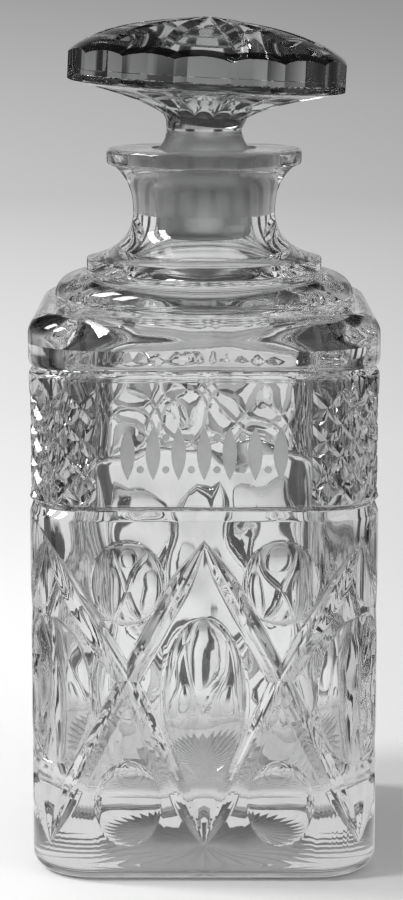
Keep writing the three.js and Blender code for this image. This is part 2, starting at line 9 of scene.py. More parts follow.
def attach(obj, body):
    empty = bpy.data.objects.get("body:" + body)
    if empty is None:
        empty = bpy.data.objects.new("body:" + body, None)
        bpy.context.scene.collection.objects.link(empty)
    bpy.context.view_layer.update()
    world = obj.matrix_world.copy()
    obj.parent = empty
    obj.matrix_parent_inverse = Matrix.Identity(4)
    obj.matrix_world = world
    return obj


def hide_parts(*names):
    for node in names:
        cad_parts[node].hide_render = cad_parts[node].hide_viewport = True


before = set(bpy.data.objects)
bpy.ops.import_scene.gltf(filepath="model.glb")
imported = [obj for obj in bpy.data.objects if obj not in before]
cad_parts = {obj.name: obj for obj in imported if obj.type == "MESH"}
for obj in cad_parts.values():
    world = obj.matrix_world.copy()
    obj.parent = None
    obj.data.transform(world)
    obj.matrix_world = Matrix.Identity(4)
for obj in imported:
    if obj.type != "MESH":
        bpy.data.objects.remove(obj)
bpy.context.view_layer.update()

# Sizes below are in millimetres, but for the camera, stage and lamps, and meshes are scaled when made
MM = 0.001

# The bottle's outside, from the foot up
BODY_HALF = 46
BODY_CORNER = 16.7
HEEL_RADIUS = 4.9
LOWER_RIM = 97.6
LOWER_NOTCH = 99.8
BAND_BOTTOM = 101.1
BAND_TOP = 134.6
UPPER_NOTCH = 135.9
NOTCH_DEPTH = 1.4
SHOULDER_HALF = 46.14
SHOULDER_BOTTOM = 137.6
SHOULDER_EDGE_HEIGHT = 144.4
SHOULDER_EDGE_RADIUS = 5.7
CUSHION_RADIUS = 40.4
CUSHION_FOOT = 150.3
CUSHION_TOP = 157.9
DISC_RADIUS = 31.8
DISC_BOTTOM = 158.6
DISC_TOP = 161.5
NECK_RADIUS = 19.2
NECK_WAIST = 174
NECK_COVE = 164.3
NECK_FLARE = 183.2
LIP_RADIUS = 26.3
LIP_BOTTOM = 186.4
LIP_TOP = 190.9
LIP_EDGE = 1.3

# The bottle's inside, and how uneven the blown wall is
WALL = 6.5
INNER_CORNER = 16
FLOOR = 20.5
FLOOR_FILLET = 7
INNER_SHOULDER = 141
INNER_DOME_RADIUS = 19
INNER_DOME = 158.5
BORE_MOUTH = 13.9
BORE_TAPER = 1 / 24
BORE_BOTTOM = 173
MOUTH_CHAMFER = 0.7
WALL_STEP = 2.4

# The waves of the blown inside as (share, rounds, climb in radians per mm, start in radians)
WALL_WAVES = ((1, 16, 0.05, 0.4), (0.8, 23, -0.11, 1.7), (0.9, 9, 0.31, 0), (0.7, 5, -0.47, 2.1))
WAVE_HEIGHT = 0.17
WAVE_FADE = 12

# The large mitre cuts, pointed at their ends, with two faint streaks on each side as (place, rise)
DIAMOND_TOP = 91.8
DIAMOND_CROSSING = 54.4
DIAMOND_BOTTOM = 10
FACE_DIAMOND_HALF = 20.1
MITRE_HALF = 2.75
MITRE_DEPTH = 1.85
MITRE_LIP = 0.55
MITRE_TAPER = 16
MITRE_POINT = 0.1
MITRE_STREAKS = ((0.3, -0.1), (0.62, 0.09))

# The oval hollows: half sizes, depth, and how full their section is
FACE_LENS = dict(height=50.3, half_width=10.9, half_height=21.5, depth=3.5, fullness=0.7)
CORNER_LENS = dict(height=51.3, half_width=12.8, half_height=20.3, depth=5.9, fullness=0.95)
UPPER_LENS = dict(height=81, half_width=9.7, half_height=11.4, depth=2.9, fullness=0.7)
LOWER_LENS = dict(height=21.4, half_width=8.8, half_height=11.6, depth=2.7, fullness=0.7)
LENS_LIP = 0.035

# The band's panel and its lattice of small diamonds
PANEL_HALF = 26.9
PANEL_TOP = 133.4
PANEL_RECESS = 0.5
LATTICE_START = 27.9
LATTICE_COLUMNS = 66
LATTICE_ROWS = 7
LATTICE_ROW = 4.22
LATTICE_RIM = 0.25
LATTICE_DEPTH = 1.6
LATTICE_TIP = 0.3
LATTICE_TABLE = 0.5
LATTICE_FLANK = 2

# The frosted row of upright olives on the panel
OLIVES = 7
OLIVE_PITCH = 6.6
OLIVE_HALF_WIDTH = 1.9
OLIVE_HALF_HEIGHT = 7
ORNAMENT_HEIGHT = 115
BEAD_RADIUS = 0.95
BEAD_OFFSET = 4.2
FROST_DEPTH = 0.12

# The star under the foot
STAR_RAYS = 32
STAR_TIP = 37
STAR_NOTCH = 27
STAR_DEPTH = 0.5
STAR_CENTRE = 0.3

# The stopper, seated
SEAT_GAP = 0.3
PLUG_LENGTH = 24.4
PLUG_EDGE = 2.2
PLUG_TOP = 189.4
STOPPER_NECK = 10.1
STOPPER_WAIST = 196.2
COLLAR_RADIUS = 11.2
COLLAR_HEIGHT = 199.2
HEAD_RADIUS = 37.8
HEAD_LEAN = 3.0
LEAN_PIVOT = COLLAR_HEIGHT - 6
FLUTE_BOTTOM = 209.3
BAND_DEPTH = 0.75
BEVEL_TOP = 208.2
BEVEL_RADIUS = 35.9
BEVEL_BOTTOM = 207
HEAD_TOP = 225.98
PEAK_RADIUS = 9
PEAK_HEIGHT = 0.8
DOME_RADIUS = 39.6
DOME_CENTRE = 210.6
FLUTES = 16
FLUTE_DEPTH = 1.1
FLUTE_TURN = 9
UNDER_FLUTE = 0.8
TOP_RAYS = 12
TOP_RAY_TURN = 12
TOP_RAY_DEPTH = 1.15
TOP_RAY_HALF = 2.3
TOP_RAY_START = 1.5
TOP_RAY_END = 34.5
TOP_RAY_INNER_TAPER = 11
TOP_RAY_OUTER_TAPER = 8
TOP_RAY_TIP = 0.35

# The glass: where it is ground as (low, high, radius), its grey tones by height, which are painted shade,
# and hammered heights
IOR = 1.5
BORE_ZONE = (BORE_BOTTOM, LIP_TOP - 0.4, 14.2)
PLUG_ZONE = (160, 194.5, 30)
GROUND_EDGE = 0.3
# Painted shade: grey tones by height that darken the clear glass, most at the foot, the lip and the
# stopper's head
BOTTLE_SHADE_TONES = (
    (0, 0.68), (20, 0.74), (28, 0.94), (60, 0.95), (90, 0.88), (97, 0.84), (101, 0.96),
    (184, 0.905), (187, 0.75), (191, 0.75),
)
STOPPER_SHADE_TONES = ((160, 0.93), (199, 0.93), (208, 0.85), (226, 0.75))
GLASS_TINT = dict(scale=25, detail=2, dark=(0.97, 0.98, 0.975, 1), pale=(1, 1, 1, 1))
DEPTH_COLOUR = (0.1, 0.12, 0.11, 1)
STOPPER_DENSITY = 9
BOTTLE_HAMMERED = ((137, 165), (0, 22))
HAMMERED_EDGE = 3

# How rough and how wavy the glass is
HAZE = dict(scale=60, detail=4, low=0.45, high=0.8, to_low=0, to_high=0.02)
GRIT = dict(scale=900, detail=3, low=0.3, high=0.7, to_low=0.34, to_high=0.5)
FOOT_ROUGHNESS = 0.45
WORN_LOW = STAR_DEPTH + 0.1
WORN_HIGH = STAR_DEPTH + 0.4
SURFACE_WAVES = dict(scale=70, detail=1.5)
DENTS = dict(scale=330, detail=2)
DENT_SHARE = 0.22
SURFACE_RELIEF = 0.14
BOTTLE_WAVINESS = 0.5
STOPPER_WAVINESS = 0.08

# Painted shade on the glass, standing in for the dark room seen in it: the lattice, the left and right
# sides, and a ring beside the head's flutes
PAINTED_SHADE_BLACK = (0, 0, 0, 1)
LATTICE_SHADE = 0.45
BAND_EDGE = 0.5
SIDE_SHADE = 0.28
SIDE_SHADE_REACH = (30, 42)
SIDE_SHADE_ZONE = (28, 92, 6)
RIM_SHADE = 0.998
RIM_EDGE = 0.07
RIM_WIDTH = 2.6
RIM_FADE = 0.6
RIM_BOTTOM = FLUTE_BOTTOM + 3

# The frosted ornament's surface
FROST_TRANSMISSION = 0.75
FROST_GRIT = dict(scale=1200, detail=3, low=0.3, high=0.7, to_low=0.55, to_high=0.75)
FROST_TINT = dict(scale=500, detail=3, dark=(0.62, 0.63, 0.63, 1), pale=(0.8, 0.8, 0.8, 1))

# The camera in metres and degrees, at the photograph's place and angle
CAMERA_X = -0.0007
CAMERA_Y = -0.7449
CAMERA_Z = 0.2353
CAMERA_PITCH = 9.681
CAMERA_LENS = 110.12

# The stage in metres: a pale floor that turns up into a wall all round
STAGE_HOLE = 0.02 * MM
FLOOR_RADIUS = 2.3
SWEEP_RADIUS = 0.4
WALL_HEIGHT = 1.6

# The stage's tones by distance from the middle and by height, as painted shade, and painted light and
# shade across the floor
FLOOR_TONES = ((0, 0.9), (0.3, 0.89), (0.55, 0.81), (0.8, 0.74), (2.3, 0.51))
WALL_TONES = ((0, 0.51), (0.1, 0.44), (0.22, 0.33))
# Painted light at the left and shade at the right in the floor's colour
PAINTED_SIDE_LIGHT_TONES = ((-0.06, 1.06), (0.06, 0.9))
BACKDROP_START = (0.2, 0.7)

# Painted light: the glow falls off from left to right, along lines that meet this far in front of the
# middle
GLOW_MEETING = 0.745
SIDE_SLANT = 0.1
PAINTED_SIDE_GLOW = (1.12, 0.88)

# What only glass and reflections see, as painted light and shade: the wall's tones by height, at the back
# and elsewhere
DARK_TONES = ((0, 1), (0.2, 0.9), (0.34, 0.5), (0.6, 0.25), (1, 0.07), (1.6, 0.02))
BACK_TONES = ((0, 1), (0.2, 1.15), (0.5, 1.5), (0.8, 0.9), (1.6, 0.1))
BACK_ANGLE = math.radians(20)
BACK_EDGE = math.radians(12)

# Also for glass and reflections: painted dark gaps by angle, and the painted shadow round the foot
HIGH_GAP = math.pi / 4
HIGH_GAP_TONES = ((0, 1), (0.35, 1), (0.51, 0.25), (HIGH_GAP, 0.12))
LOW_GAP = math.pi / 12
LOW_GAP_TONES = ((0, 1), (0.155, 1), (0.185, 0.1), (LOW_GAP, 0.05))
GAP_CHANGE = (0.04, 0.2)
GAP_START = (0.07, 0.17)
SHADE_TONES = ((0, 0.86), (0.03, 0.84), (0.045, 0.82), (0.065, 0.95), (0.11, 1))

# The lamps in metres and watts: two upright panes at the left and a weaker fill at the right
PANES = (("near_pane", -0.43), ("far_pane", 0.2))
PANE_X = -1.3
PANE_Z = 1.15
PANE_AIM = 0.12
PANE_WIDTH = 0.34
PANE_HEIGHT = 0.7
PANE_POWER = 14.5
FILL_PLACE = (1.5, -1.2, 1.3)
FILL_TARGET = (0, 0, 0.1)
FILL_SIZE = 1.2
FILL_POWER = 6
WORLD_TONE = (0.5, 0.5, 0.5, 1)
WORLD_TONE_IN_GLASS = (0.06, 0.06, 0.06, 1)

# How finely round shapes are divided
FLAT_STEPS = 24
CORNER_STEPS = 24
ARC_STEPS = 14
COVE_STEPS = 20
PLUG_STEPS = 144
FLUTE_STEPS = 12
LENS_SEGMENTS = 96
LENS_RINGS = 22
MITRE_STEPS = 8
MITRE_WRAPS = 12
FROST_STEPS = 40
TOP_RAY_STEPS = 16
DOME_RINGS = 22
SWEEP_STEPS = 12
WALL_SEGMENTS = 96

# How far the cutters reach over the surface that they cut
CUTTER_LIFT = 1
LENS_LIFT = 8
TOP_RAY_LIFT = 2

# Edges that bend by more than this stay sharp
SHARP_ANGLE = math.radians(13)

BODY_FLAT = BODY_HALF - BODY_CORNER
CORNER_LENGTH = BODY_CORNER * math.pi / 2
SIDE_LENGTH = 2 * BODY_FLAT + CORNER_LENGTH
HALF_SIDE = SIDE_LENGTH / 2
PERIMETER = 4 * SIDE_LENGTH


def mix(a, b, share):
    return a + (b - a) * share


def add_object(name, data):
    made = bpy.data.objects.new(name, data)
    bpy.context.scene.collection.objects.link(made)
    return made


def make_object(name, points, faces):
    mesh = bpy.data.meshes.new(name)
    mesh.from_pydata([Vector(point) * MM for point in points], [], faces)
    mesh.update()
    return add_object(name, mesh)


def loft(name, rings, first, last):
    """A closed skin of triangles over rings of equally many points, with a point at each end."""
    count = len(rings[0])
    points = [first] + [point for ring in rings for point in ring] + [last]
    end = len(points) - 1
    faces = []
    for k in range(count):
        following = (k + 1) % count
        faces.append((0, 1 + following, 1 + k))
        for row in range(len(rings) - 1):
            low = 1 + row * count
            high = low + count
            faces.append((low + k, low + following, high + following, high + k))
        top = end - count
        faces.append((top + k, top + following, end))
    return triangulated(make_object(name, points, faces))


def band_faces(here, there, count):
    """The triangles between two sections of count points, by the number of each first point."""
    faces = []
    for edge in range(count):
        other = (edge + 1) % count
        faces.append((here + edge, there + other, there + edge))
        faces.append((here + edge, here + other, there + other))
    return faces


def arc(centre, height, radius, start, stop, steps=ARC_STEPS):
    """Outline points along an arc, angles in degrees."""
    angles = [math.radians(mix(start, stop, i / steps)) for i in range(steps + 1)]
    return [(centre + radius * math.cos(a), height + radius * math.sin(a)) for a in angles]


def bend(start, corner, end, steps):
    """Outline points after the first one, on a curve that bends towards a corner point."""
    points = []
    knots = (start, corner, end)
    for i in range(1, steps + 1):
        t = i / steps
        weights = ((1 - t) ** 2, 2 * t * (1 - t), t * t)
        points.append(tuple(sum(w * knot[axis] for w, knot in zip(weights, knots)) for axis in (0, 1)))
    return points


def turned(x, y, angle):
    """A point turned round the middle by an angle in radians."""
    c, s = math.cos(angle), math.sin(angle)
    return x * c - y * s, x * s + y * c


def bottle_ring(half, height, corner, roundness):
    """One ring of the bottle: a rounded square, a circle, or a shape between the two."""
    ring = []
    flat = half - corner
    per_side = FLAT_STEPS + CORNER_STEPS
    for k in range(4 * per_side):
        side, step = divmod(k, per_side)
        across = min(step / FLAT_STEPS, 1) * 2 - 1
        turn = math.radians(max(step - FLAT_STEPS, 0) * 90 / CORNER_STEPS)
        angle = math.radians(-90 + (step - FLAT_STEPS / 2) * 90 / per_side)
        x = mix(flat * across + corner * math.sin(turn), half * math.cos(angle), roundness)
        y = mix(-flat - corner * math.cos(turn), half * math.sin(angle), roundness)
        ring.append((*turned(x, y, math.radians(90 * side)), height))
    return ring


def square_ring(half, height):
    return bottle_ring(half, height, half - BODY_FLAT, 0)


def round_ring(radius, height):
    return bottle_ring(radius, height, radius, 1)


def body_rings():
    """The outside from the heel to the shoulder slab, with a notch under and over the band."""
    notch = BODY_HALF - NOTCH_DEPTH
    rim = (BODY_HALF, LOWER_RIM - 0.5)
    lower_notch = (notch, LOWER_NOTCH - 0.3)
    band_end = (BODY_HALF, BAND_TOP - 1)
    upper_notch = (notch, UPPER_NOTCH + 0.2)
    overhang = (SHOULDER_HALF, SHOULDER_BOTTOM + 1.5)
    outline = [
        *arc(BODY_HALF - HEEL_RADIUS, HEEL_RADIUS, HEEL_RADIUS, -90, 0),
        rim,
        *bend(rim, (BODY_HALF, LOWER_RIM), lower_notch, 5),
        *bend(lower_notch, (notch, LOWER_NOTCH + 0.3), (BODY_HALF, BAND_BOTTOM), 4),
        band_end,
        *bend(band_end, (BODY_HALF, BAND_TOP + 0.3), (notch, UPPER_NOTCH - 0.2), 6),
        upper_notch,
        *bend(upper_notch, (SHOULDER_HALF, UPPER_NOTCH + 0.2), overhang, 8),
        *arc(SHOULDER_HALF - SHOULDER_EDGE_RADIUS, SHOULDER_EDGE_HEIGHT, SHOULDER_EDGE_RADIUS, 0, 90),
    ]
    return [square_ring(*point) for point in outline]


def neck_rings():
    """The outside from the cushion over the disc and the waisted neck to the lip."""
    foot = (CUSHION_RADIUS - 0.7, CUSHION_FOOT)
    side = (CUSHION_RADIUS, CUSHION_FOOT + 1.4)
    top = (DISC_RADIUS + 0.6, CUSHION_TOP)
    disc_side = (DISC_RADIUS, DISC_TOP - 0.3)
    disc_edge = (DISC_RADIUS - 0.35, DISC_TOP + 0.08)
    waist = (NECK_RADIUS, NECK_WAIST)
    flare = (LIP_RADIUS - 0.5, LIP_BOTTOM + 0.2)
    outline = [
        foot,
        *bend(foot, (CUSHION_RADIUS, CUSHION_FOOT + 0.6), side, 4),
        *bend(side, (CUSHION_RADIUS - 0.4, CUSHION_TOP - 0.9), top, ARC_STEPS),
        *bend(top, (DISC_RADIUS, CUSHION_TOP + 0.1), (DISC_RADIUS, DISC_BOTTOM), 3),
        disc_side,
        *bend(disc_side, (DISC_RADIUS, DISC_TOP), disc_edge, 3),
        *bend(disc_edge, (NECK_RADIUS, NECK_COVE), waist, COVE_STEPS),
        *bend(waist, (NECK_RADIUS, NECK_FLARE), flare, COVE_STEPS),
        *bend(flare, (LIP_RADIUS, LIP_BOTTOM + 0.5), (LIP_RADIUS, LIP_BOTTOM + LIP_EDGE), 4),
        *arc(LIP_RADIUS - LIP_EDGE, LIP_TOP - LIP_EDGE, LIP_EDGE, 0, 90, 8),
    ]
    return [round_ring(*point) for point in outline]


def bore_radius(height):
    return BORE_MOUTH - (LIP_TOP - height) * BORE_TAPER


def wall_wave(x, y, height):
    """How far the blown inside stands out at a point, as a few long crossing waves."""
    around = math.atan2(y, x)
    above_floor = height - FLOOR - FLOOR_FILLET
    below_dome = INNER_SHOULDER + WAVE_FADE - height
    fade = min(1, max(0, above_floor / WAVE_FADE), max(0, below_dome / WAVE_FADE))
    waves = [
        share * math.sin(rounds * around + climb * height + start)
        for share, rounds, climb, start in WALL_WAVES
    ]
    return WAVE_HEIGHT * fade * sum(waves)


def waved(ring):
    """A ring of the inside with its points moved outwards by the waves."""
    moved = []
    for x, y, z in ring:
        share = 1 + wall_wave(x, y, z) / math.hypot(x, y)
        moved.append((x * share, y * share, z))
    return moved


def hollow_rings():
    """The inside from the mouth down: ground bore, dome, wall and floor."""
    end = (bore_radius(BORE_BOTTOM), BORE_BOTTOM)
    dome_start = (INNER_DOME_RADIUS, INNER_DOME)
    middle = (BORE_BOTTOM + INNER_DOME) / 2 - 2
    bore = [
        (BORE_MOUTH + MOUTH_CHAMFER, LIP_TOP),
        (bore_radius(LIP_TOP - MOUTH_CHAMFER), LIP_TOP - MOUTH_CHAMFER),
        end,
        *bend(end, (end[0], middle), dome_start, COVE_STEPS),
    ]
    inner = BODY_HALF - WALL
    dome = bend(dome_start, (inner - 1, INNER_DOME - 7), (inner, INNER_SHOULDER), 2 * COVE_STEPS)
    rings = [round_ring(*point) for point in bore]
    for i, (half, height) in enumerate(dome, 1):
        share = i / len(dome)
        rings.append(waved(bottle_ring(half, height, mix(half, INNER_CORNER, share), 1 - share)))
    low = FLOOR + FLOOR_FILLET
    steps = round((INNER_SHOULDER - low) / WALL_STEP)
    for i in range(1, steps):
        rings.append(waved(bottle_ring(inner, mix(INNER_SHOULDER, low, i / steps), INNER_CORNER, 0)))
    for half, height in arc(inner - FLOOR_FILLET, low, FLOOR_FILLET, 0, -90):
        rings.append(waved(bottle_ring(half, height, half - inner + INNER_CORNER, 0)))
    return rings


def body_point(along, height, stand_off):
    """A point by its place round the body, its height and how far it stands off the surface."""
    side, place = divmod((along + BODY_FLAT) % PERIMETER, SIDE_LENGTH)
    turn = max(place - 2 * BODY_FLAT, 0) / BODY_CORNER
    reach = BODY_CORNER + stand_off
    x = min(place, 2 * BODY_FLAT) - BODY_FLAT + reach * math.sin(turn)
    y = -BODY_FLAT - reach * math.cos(turn)
    return (*turned(x, y, math.radians(90 * side)), height)


def mitre_height(place, starts_at_top):
    """The height of a mitre line at its place along one side, counted from the side's middle."""
    from_face = SIDE_LENGTH - place if place > HALF_SIDE else place
    ends = (DIAMOND_TOP, DIAMOND_BOTTOM) if starts_at_top else (DIAMOND_BOTTOM, DIAMOND_TOP)
    if from_face < FACE_DIAMOND_HALF:
        return mix(ends[0], DIAMOND_CROSSING, from_face / FACE_DIAMOND_HALF)
    share = (from_face - FACE_DIAMOND_HALF) / (HALF_SIDE - FACE_DIAMOND_HALF)
    return mix(DIAMOND_CROSSING, ends[1], share)


def mitre_places():
    """The places along one side where a mitre line turns, wraps round the corner or changes width."""
    taper = MITRE_TAPER * FACE_DIAMOND_HALF / math.hypot(FACE_DIAMOND_HALF, DIAMOND_TOP - DIAMOND_CROSSING)
    out = [taper * i / MITRE_STEPS for i in range(MITRE_STEPS + 1)]
    out += [FACE_DIAMOND_HALF]
    out += [mix(BODY_FLAT, HALF_SIDE, i / MITRE_WRAPS) for i in range(MITRE_WRAPS)]
    return out + [HALF_SIDE] + [SIDE_LENGTH - place for place in reversed(out[1:])]


def mitre_share(point):
    """The groove's size there, from the distance to the nearest point of the zigzag."""
    tip = DIAMOND_TOP if point.y > DIAMOND_CROSSING else DIAMOND_BOTTOM
    from_face = point.x % SIDE_LENGTH
    from_face = min(from_face, SIDE_LENGTH - from_face)
    near_face = from_face < FACE_DIAMOND_HALF
    distance = math.hypot(from_face if near_face else HALF_SIDE - from_face, tip - point.y)
    return mix(MITRE_POINT, 1, math.sin(min(1, distance / MITRE_TAPER) * math.pi / 2))


def mitre_section(share):
    """Half of the groove's section, from the valley up, as offset and height over the surface."""
    half = MITRE_HALF * share
    depth = MITRE_DEPTH * share
    lip = MITRE_LIP * share
    foot = (half - lip, -depth * lip / half)
    rounded = bend(foot, (half, 0), (half + lip, 0), 4)
    streaks = [(foot[0] * up, mix(-depth, foot[1], up) + rise * share) for up, rise in MITRE_STREAKS]
    return [(0, -depth), *streaks, foot, *rounded, (half + lip + CUTTER_LIFT, CUTTER_LIFT)]


def mitre_cutter(starts_at_top):
    """A closed band with the groove's section, zigzag round the body."""
    line = [
        Vector((side * SIDE_LENGTH + place, mitre_height(place, starts_at_top)))
        for side in range(4) for place in mitre_places()
    ]
    round_once = Vector((PERIMETER, 0))
    points = []
    for i, point in enumerate(line):
        before = line[i - 1] if i else line[-1] - round_once
        after = line[i + 1] if i < len(line) - 1 else line[0] + round_once
        first = (point - before).normalized()
        second = (after - point).normalized()
        across = Vector((-first.y - second.y, first.x + second.x)).normalized()
        across /= across.dot(Vector((-first.y, first.x)))
        section = mitre_section(mitre_share(point))
        section += [(-offset, height) for offset, height in reversed(section[1:])]
        for offset, height in section:
            points.append(body_point(point.x + across.x * offset, point.y + across.y * offset, height))
    count = len(section)
    faces = []
    for i in range(len(line)):
        faces += band_faces(count * i, count * ((i + 1) % len(line)), count)
    return make_object("mitre_cutter", points, faces)


def lens_section(lens):
    """The hollow's section from its middle outwards, as share of the half size and depth."""
    points = []
    last = 1 - LENS_LIP
    for i in range(1, LENS_RINGS + 1):
        share = last * math.sin(math.pi / 2 * i / LENS_RINGS)
        points.append((share, lens["depth"] * (1 - share * share) ** lens["fullness"]))
    rim = bend(points[-1], (1 - LENS_LIP / 3, 0), (1 + LENS_LIP, 0), 4)
    return points + rim


def lens_cutter(places, lens):
    """Several hollows of one kind, dished into the surface and following it round a corner."""
    made = bmesh.new()

    def spot(along, share, angle, stand_off):
        u = along + lens["half_width"] * share * math.cos(angle)
        v = lens["height"] + lens["half_height"] * share * math.sin(angle)
        return made.verts.new(Vector(body_point(u, v, stand_off)) * MM)

    rows = [(share, -depth) for share, depth in lens_section(lens)]
    rows.append((1 + 2 * LENS_LIP, CUTTER_LIFT))
    angles = [2 * math.pi * k / LENS_SEGMENTS for k in range(LENS_SEGMENTS)]
    for along in places:
        rings = [[spot(along, share, angle, height) for angle in angles] for share, height in rows]
        bottom = spot(along, 0, 0, -lens["depth"])
        top = spot(along, 0, 0, LENS_LIFT)
        for k in range(LENS_SEGMENTS):
            following = (k + 1) % LENS_SEGMENTS
            made.faces.new((bottom, rings[0][following], rings[0][k]))
            for low, high in zip(rings, rings[1:]):
                made.faces.new((low[k], low[following], high[following]))
                made.faces.new((low[k], high[following], high[k]))
            made.faces.new((rings[-1][k], rings[-1][following], top))
    bmesh.ops.recalc_face_normals(made, faces=made.faces)
    mesh = bpy.data.meshes.new("lens_cutter")
    made.to_mesh(mesh)
    made.free()
    return add_object("lens_cutter", mesh)


def lens_cutters():
    middles = [side * SIDE_LENGTH for side in range(4)]
    beside = [middle + hand * FACE_DIAMOND_HALF for middle in middles for hand in (-1, 1)]
    corners = [middle + HALF_SIDE for middle in middles]
    return [
        lens_cutter(middles, FACE_LENS),
        lens_cutter(corners, CORNER_LENS),
        lens_cutter(beside, UPPER_LENS),
        lens_cutter(beside, LOWER_LENS),
    ]


def crosses(node):
    """Whether two grooves of the lattice cross at a node of its grid."""
    return sum(node) % 2 == 1


def lattice_cutter():
    """The strip of small flat-topped diamonds, from one edge of the panel round the back to the other."""
    column_width = (PERIMETER - 2 * LATTICE_START) / LATTICE_COLUMNS
    bottom = BAND_BOTTOM + LATTICE_RIM
    points, faces, known = [], [], {}

    def add(column, height, stand_off):
        points.append(body_point(LATTICE_START + column * column_width, height, stand_off))
        return len(points) - 1

    def at(column, row, depth):
        if (column, row) not in known:
            known[column, row] = add(column, bottom + row * LATTICE_ROW, -depth)
        return known[column, row]

    def node(place):
        return at(*place, LATTICE_DEPTH if crosses(place) else LATTICE_TIP)

    def table_corner(tip, crossing):
        column, row = (mix(near, far, LATTICE_TABLE) for near, far in zip(tip, crossing))
        return at(column, row, LATTICE_TIP)

    def between(first, second):
        return table_corner(second, first) if crosses(first) else table_corner(first, second)

    def facet(first, second, tip):
        """One side of a groove between two crossings, and its share of the diamond's flat top."""
        near, far = table_corner(tip, first), table_corner(tip, second)
        faces.extend(((node(first), node(second), far), (node(first), far, near), (near, far, node(tip))))

    def top_row(column):
        return LATTICE_ROWS if crosses((column, LATTICE_ROWS)) else LATTICE_ROWS - 1

    def close_end(column, flip):
        low, high = outer[column]
        rim = [node((column, 0))]
        for j in range(top_row(column)):
            rim += [between((column, j), (column, j + 1)), node((column, j + 1))]
        rim.append(high)
        for a, b in zip(rim, rim[1:]):
            faces.append((low, b, a) if flip else (low, a, b))

    outer = []
    for i in range(LATTICE_COLUMNS + 1):
        flank_top = bottom + top_row(i) * LATTICE_ROW + LATTICE_FLANK
        outer.append((add(i, bottom, CUTTER_LIFT), add(i, flank_top, CUTTER_LIFT)))
    row = LATTICE_ROWS - 1
    for i in range(LATTICE_COLUMNS):
        for j in range(row):
            corners = [(i, j), (i + 1, j), (i + 1, j + 1), (i, j + 1)]
            a, b, c, d = corners if crosses(corners[0]) else corners[3:] + corners[:3]
            facet(a, c, b)
            facet(c, a, d)
        if top_row(i) > row:
            facet((i, LATTICE_ROWS), (i + 1, row), (i, row))
        else:
            facet((i, row), (i + 1, LATTICE_ROWS), (i + 1, row))
        (left_low, left_high), (right_low, right_high) = outer[i], outer[i + 1]
        foot = between((i, 0), (i + 1, 0))
        left_top, right_top = node((i, top_row(i))), node((i + 1, top_row(i + 1)))
        faces += [(left_low, right_low, right_high), (left_low, right_high, left_high)]
        faces += [(node((i, 0)), foot, left_low), (foot, node((i + 1, 0)), right_low)]
        faces += [(foot, right_low, left_low)]
        faces += [(left_top, right_high, right_top), (left_top, left_high, right_high)]
    close_end(0, True)
    close_end(LATTICE_COLUMNS, False)
    return make_object("lattice_cutter", points, faces)


def panel_cutter():
    heights = (BAND_BOTTOM + LATTICE_RIM, PANEL_TOP)
    depths = (-BODY_HALF - CUTTER_LIFT, -BODY_HALF + PANEL_RECESS)
    corners = [(x, y, z) for z in heights for y in depths for x in (-PANEL_HALF, PANEL_HALF)]
    faces = [(0, 2, 3, 1), (4, 5, 7, 6), (0, 1, 5, 4), (2, 6, 7, 3), (0, 4, 6, 2), (1, 3, 7, 5)]
    return make_object("panel_cutter", corners, faces)


def frost_outlines():
    """The olives and the beads between them, as centre, half sizes and how pointed they are."""
    outlines = []
    for i in range(OLIVES):
        x = (i - (OLIVES - 1) / 2) * OLIVE_PITCH
        outlines.append((x, ORNAMENT_HEIGHT, OLIVE_HALF_WIDTH, OLIVE_HALF_HEIGHT, 2))
        if i < OLIVES - 1:
            for offset in (-BEAD_OFFSET, BEAD_OFFSET):
                middle = x + OLIVE_PITCH / 2
                outlines.append((middle, ORNAMENT_HEIGHT + offset, BEAD_RADIUS, BEAD_RADIUS, 1))
    return outlines


def frost_cutter():
    """Shallow prisms that sink the frosted ornament a little into the panel."""
    depths = (-BODY_HALF - CUTTER_LIFT, -BODY_HALF + PANEL_RECESS + FROST_DEPTH)
    points, faces = [], []
    ring = range(FROST_STEPS)
    for x, z, half_width, half_height, sharpness in frost_outlines():
        front = len(points)
        back = front + FROST_STEPS
        for y in depths:
            for k in ring:
                angle = 2 * math.pi * k / FROST_STEPS
                narrowing = math.copysign(abs(math.cos(angle)) ** sharpness, math.cos(angle))
                points.append((x + half_width * narrowing, y, z + half_height * math.sin(angle)))
        faces.append([front + k for k in ring])
        faces.append([back + k for k in reversed(ring)])
        for k in ring:
            following = (k + 1) % FROST_STEPS
            faces.append((front + k, back + k, back + following, front + following))
    return make_object("frost_cutter", points, faces)


def star_cutter():
    """A low star of V shaped rays, pointed at their outer ends, that cuts into the foot from below."""
    points = [(0, 0, STAR_CENTRE), (0, 0, -CUTTER_LIFT)]
    faces = []
    for ray in range(STAR_RAYS):
        turn = 2 * math.pi * ray / STAR_RAYS
        notch = turn + math.pi / STAR_RAYS
        here = len(points)
        corners = (
            (STAR_NOTCH, turn, STAR_DEPTH),
            (STAR_TIP, turn, 0),
            (STAR_NOTCH, notch, 0),
            (STAR_TIP, turn, -CUTTER_LIFT),
            (STAR_NOTCH, notch, -CUTTER_LIFT),
        )
        points += [(radius * math.cos(angle), radius * math.sin(angle), z) for radius, angle, z in corners]
        after = 2 + (ray + 1) % STAR_RAYS * len(corners)
        faces += [(0, here, here + 2), (here, here + 1, here + 2)]
        faces += [(0, here + 2, after), (here + 2, after + 1, after)]
        faces += [(here + 1, here + 3, here + 4), (here + 1, here + 4, here + 2)]
        faces += [(here + 2, here + 4, after + 3), (here + 2, after + 3, after + 1)]
        faces += [(1, here + 4, here + 3), (1, after + 3, here + 4)]
    return make_object("star_cutter", points, faces)


